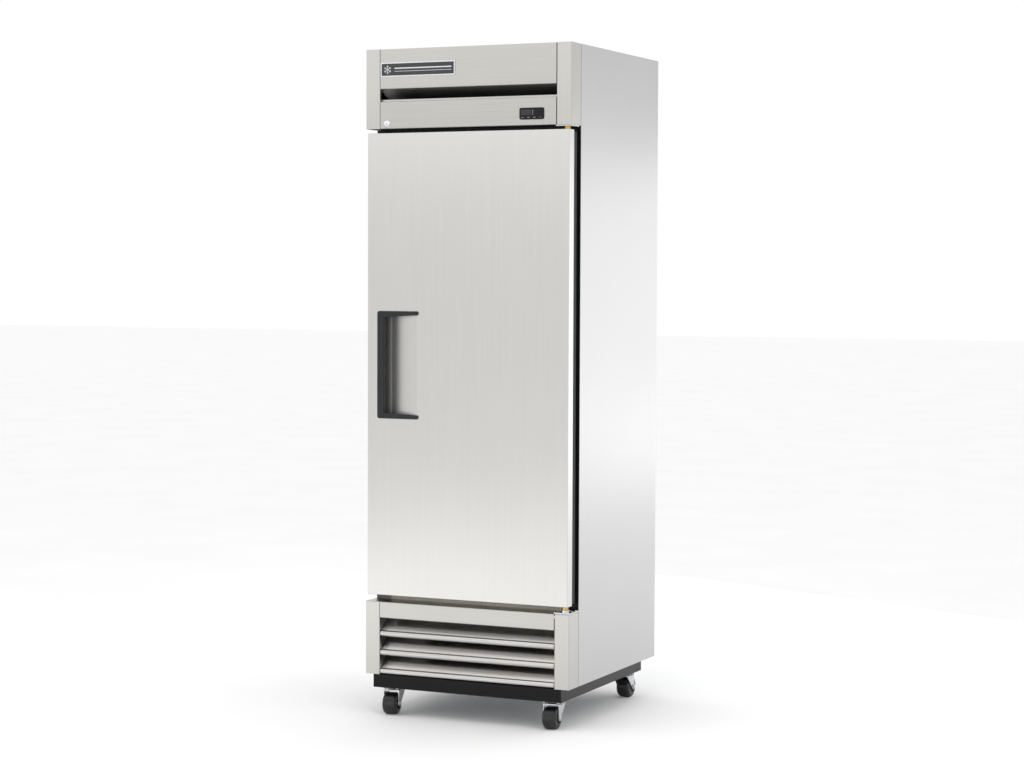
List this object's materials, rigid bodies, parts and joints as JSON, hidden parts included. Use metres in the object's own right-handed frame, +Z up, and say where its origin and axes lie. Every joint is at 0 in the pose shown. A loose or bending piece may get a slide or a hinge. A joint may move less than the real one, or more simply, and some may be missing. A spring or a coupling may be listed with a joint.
{
  "type": "reach in refrigerator",
  "caption": "Upright commercial refrigerator with one solid steel door, recessed handle, louvred lower grille and swivel casters.",
  "frame": {"origin": "on the floor, at the middle of the overall width and depth, under the cabinet", "axes": "+Z up, +X towards the hinge side of the door, -Y towards the person who opens the door"},
  "size_m": [0.686, 0.71, 2.048],
  "materials": {
    "stainless_steel": "satin",
    "galvanised_steel": "satin",
    "painted_black_steel": "gloss",
    "aluminium": "satin",
    "copper": "satin",
    "brass": "satin",
    "zinc_plate": "satin",
    "black_abs": "satin",
    "beige_pvc": "satin",
    "white_pvc": "satin",
    "display_window": "gloss",
    "badge_enamel": "gloss",
    "gasket_vinyl": "matte",
    "black_rubber": "matte",
    "rigid_foam": "matte",
    "wheel_polymer": "satin"
  },
  "bodies": {
    "cabinet": {"side_panel_left": "stainless_steel", "side_panel_right": "stainless_steel", "top_panel": "stainless_steel", "back_panel": "galvanised_steel", "cabinet_insulation": "rigid_foam", "cabinet_liner": "aluminium", "breaker_frame": "beige_pvc", "header_upper_panel": "stainless_steel", "header_lower_panel": "stainless_steel", "header_end_cap_left": "stainless_steel", "header_end_cap_right": "stainless_steel", "badge_plate": "badge_enamel", "controller_bezel": "black_abs", "controller_display": "display_window", "lock_barrel": "zinc_plate", "grille_top_rail": "stainless_steel", "grille_post_left": "stainless_steel", "grille_post_right": "stainless_steel", "grille_louvres": "stainless_steel", "base_rails": "painted_black_steel", "base_deck": "galvanised_steel", "compressor": "painted_black_steel", "condenser_coil": "aluminium", "condenser_shroud": "galvanised_steel", "fan_motors": "painted_black_steel", "refrigerant_lines": "copper", "drain_pan": "galvanised_steel", "cord_gland": "black_abs", "rear_grille": "galvanised_steel", "evaporator_cover": "aluminium", "evaporator_coil": "aluminium", "interior_lamp": "white_pvc", "shelf_pilasters": "galvanised_steel", "shelf_clips": "zinc_plate", "wire_shelves": "white_pvc", "hinge_brackets": "zinc_plate", "caster_plates": "zinc_plate", "rear_bumpers": "black_rubber", "panel_screws": "zinc_plate"},
    "door": {"door_skin": "stainless_steel", "door_foam": "rigid_foam", "door_liner": "aluminium", "door_gasket": "gasket_vinyl", "door_handle": "black_abs", "hinge_bushes": "brass"},
    "lock_plug": {"lock_plug": "zinc_plate"},
    "button_1": {"button_1": "black_abs"},
    "button_2": {"button_2": "black_abs"},
    "button_3": {"button_3": "black_abs"},
    "button_4": {"button_4": "black_abs"},
    "condenser_fan": {"condenser_fan_blade": "black_abs"},
    "evaporator_fan": {"evaporator_fan_blade": "black_abs"},
    "fork_front_left": {"caster_fork_front_left": "zinc_plate"},
    "fork_front_right": {"caster_fork_front_right": "zinc_plate"},
    "fork_rear_left": {"caster_fork_rear_left": "zinc_plate"},
    "fork_rear_right": {"caster_fork_rear_right": "zinc_plate"},
    "wheel_front_left": {"caster_wheel_front_left": "wheel_polymer"},
    "wheel_front_right": {"caster_wheel_front_right": "wheel_polymer"},
    "wheel_rear_left": {"caster_wheel_rear_left": "wheel_polymer"},
    "wheel_rear_right": {"caster_wheel_rear_right": "wheel_polymer"}
  },
  "joints": [
    {"name": "door_hinge", "type": "hinge", "parent": "cabinet", "child": "door", "pos_m": [0.322, -0.331, 1.027], "axis": [0, 0, 1], "range_deg": [0, 115], "stiffness_Nm_per_rad": 1.5},
    {"name": "lock_turn", "type": "hinge", "parent": "cabinet", "child": "lock_plug", "pos_m": [-0.271, -0.346, 1.8206], "axis": [0, 1, 0], "range_deg": [0, 90]},
    {"name": "button_1_press", "type": "slide", "parent": "cabinet", "child": "button_1", "axis": [0, 1, 0], "range_m": [0, 0.0006], "stiffness_N_per_m": 300},
    {"name": "button_2_press", "type": "slide", "parent": "cabinet", "child": "button_2", "axis": [0, 1, 0], "range_m": [0, 0.0006], "stiffness_N_per_m": 300},
    {"name": "button_3_press", "type": "slide", "parent": "cabinet", "child": "button_3", "axis": [0, 1, 0], "range_m": [0, 0.0006], "stiffness_N_per_m": 300},
    {"name": "button_4_press", "type": "slide", "parent": "cabinet", "child": "button_4", "axis": [0, 1, 0], "range_m": [0, 0.0006], "stiffness_N_per_m": 300},
    {"name": "condenser_fan_spin", "type": "hinge", "parent": "cabinet", "child": "condenser_fan", "pos_m": [0, -0.187, 0.239], "axis": [0, 1, 0], "continuous": true},
    {"name": "evaporator_fan_spin", "type": "hinge", "parent": "cabinet", "child": "evaporator_fan", "pos_m": [0, -0.165, 1.8815], "axis": [0, 1, 0], "continuous": true},
    {"name": "caster_front_left_swivel", "type": "hinge", "parent": "cabinet", "child": "fork_front_left", "pos_m": [-0.272, -0.295, 0.07], "axis": [0, 0, 1], "continuous": true},
    {"name": "wheel_front_left_roll", "type": "hinge", "parent": "fork_front_left", "child": "wheel_front_left", "pos_m": [-0.26932, -0.31684, 0.034], "axis": [0.9925, 0.1219, 0], "continuous": true},
    {"name": "caster_rear_left_swivel", "type": "hinge", "parent": "cabinet", "child": "fork_rear_left", "pos_m": [-0.272, 0.256, 0.07], "axis": [0, 0, 1], "continuous": true},
    {"name": "wheel_rear_left_roll", "type": "hinge", "parent": "fork_rear_left", "child": "wheel_rear_left", "pos_m": [-0.26856, 0.27773, 0.034], "axis": [-0.9877, 0.1564, 0], "continuous": true},
    {"name": "caster_front_right_swivel", "type": "hinge", "parent": "cabinet", "child": "fork_front_right", "pos_m": [0.272, -0.295, 0.07], "axis": [0, 0, 1], "continuous": true},
    {"name": "wheel_front_right_roll", "type": "hinge", "parent": "fork_front_right", "child": "wheel_front_right", "pos_m": [0.27353, -0.31695, 0.034], "axis": [0.9976, 0.0698, 0], "continuous": true},
    {"name": "caster_rear_right_swivel", "type": "hinge", "parent": "cabinet", "child": "fork_rear_right", "pos_m": [0.272, 0.256, 0.07], "axis": [0, 0, 1], "continuous": true},
    {"name": "wheel_rear_right_roll", "type": "hinge", "parent": "fork_rear_right", "child": "wheel_rear_right", "pos_m": [0.272, 0.278, 0.034], "axis": [-1, 0, 0], "continuous": true}
  ]
}
